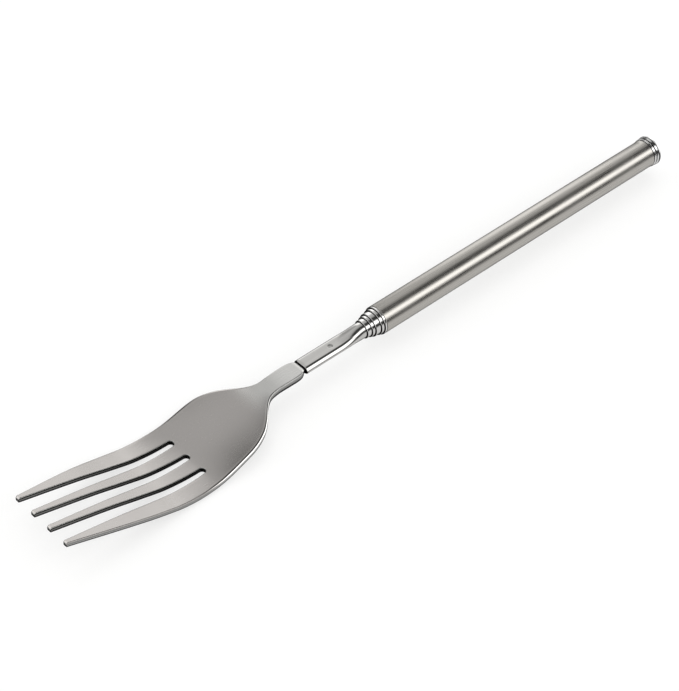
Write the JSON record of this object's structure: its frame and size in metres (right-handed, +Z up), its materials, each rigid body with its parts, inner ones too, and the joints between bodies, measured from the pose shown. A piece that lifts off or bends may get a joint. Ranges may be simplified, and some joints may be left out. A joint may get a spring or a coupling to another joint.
{
  "type": "telescopic roasting fork",
  "caption": "Pocket fork with a stamped tine head on telescoping steel tubes that slide and turn inside a satin handle tube with a polished cap.",
  "frame": {"origin": "centre of the bounding box's base, under the middle of the closed fork", "axes": "+X from the tine tips to the end cap along the fork, +Z up with the hollow of the head facing up, +Y across the tines"},
  "size_m": [0.2118, 0.0252, 0.0121],
  "materials": {
    "satin_tube": "satin, brushed along the tube",
    "satin_neck": "satin, pressed flat in front",
    "satin_blade": "satin stamped stainless steel",
    "polished_tube": "mirror polished",
    "polished_cap": "mirror polished",
    "brass_shim": "plain rolled strip"
  },
  "bodies": {
    "handle": {"handle_tube": "satin_tube", "end_cap": "polished_cap"},
    "section_1_shims": {"section_1_shim_upper": "brass_shim", "section_1_shim_lower": "brass_shim"},
    "section_1": {"section_1_tube": "polished_tube"},
    "section_2_shims": {"section_2_shim_upper": "brass_shim", "section_2_shim_lower": "brass_shim"},
    "section_2": {"section_2_tube": "polished_tube"},
    "section_3_shims": {"section_3_shim_upper": "brass_shim", "section_3_shim_lower": "brass_shim"},
    "section_3": {"section_3_tube": "polished_tube"},
    "section_4_shims": {"section_4_shim_upper": "brass_shim", "section_4_shim_lower": "brass_shim"},
    "section_4": {"section_4_tube": "polished_tube"},
    "neck_shims": {"neck_shim_upper": "brass_shim", "neck_shim_lower": "brass_shim"},
    "neck": {"neck_tube": "satin_neck", "fork_head": "satin_blade"}
  },
  "joints": [
    {"name": "section_1_slide", "type": "slide", "parent": "handle", "child": "section_1_shims", "axis": [-1, 0, 0], "range_m": [0, 0.08]},
    {"name": "section_1_swivel", "type": "hinge", "parent": "section_1_shims", "child": "section_1", "pos_m": [0.00045, 0, 0.0077], "axis": [-1, 0, 0], "continuous": true},
    {"name": "section_2_slide", "type": "slide", "parent": "section_1", "child": "section_2_shims", "axis": [-1, 0, 0], "range_m": [0, 0.08]},
    {"name": "section_2_swivel", "type": "hinge", "parent": "section_2_shims", "child": "section_2", "pos_m": [0.00045, 0, 0.0077], "axis": [-1, 0, 0], "continuous": true},
    {"name": "section_3_slide", "type": "slide", "parent": "section_2", "child": "section_3_shims", "axis": [-1, 0, 0], "range_m": [0, 0.08]},
    {"name": "section_3_swivel", "type": "hinge", "parent": "section_3_shims", "child": "section_3", "pos_m": [0.00045, 0, 0.0077], "axis": [-1, 0, 0], "continuous": true},
    {"name": "section_4_slide", "type": "slide", "parent": "section_3", "child": "section_4_shims", "axis": [-1, 0, 0], "range_m": [0, 0.08]},
    {"name": "section_4_swivel", "type": "hinge", "parent": "section_4_shims", "child": "section_4", "pos_m": [0.00045, 0, 0.0077], "axis": [-1, 0, 0], "continuous": true},
    {"name": "neck_slide", "type": "slide", "parent": "section_4", "child": "neck_shims", "axis": [-1, 0, 0], "range_m": [0, 0.08]},
    {"name": "neck_swivel", "type": "hinge", "parent": "neck_shims", "child": "neck", "pos_m": [0.00045, 0, 0.0077], "axis": [-1, 0, 0], "continuous": true}
  ]
}
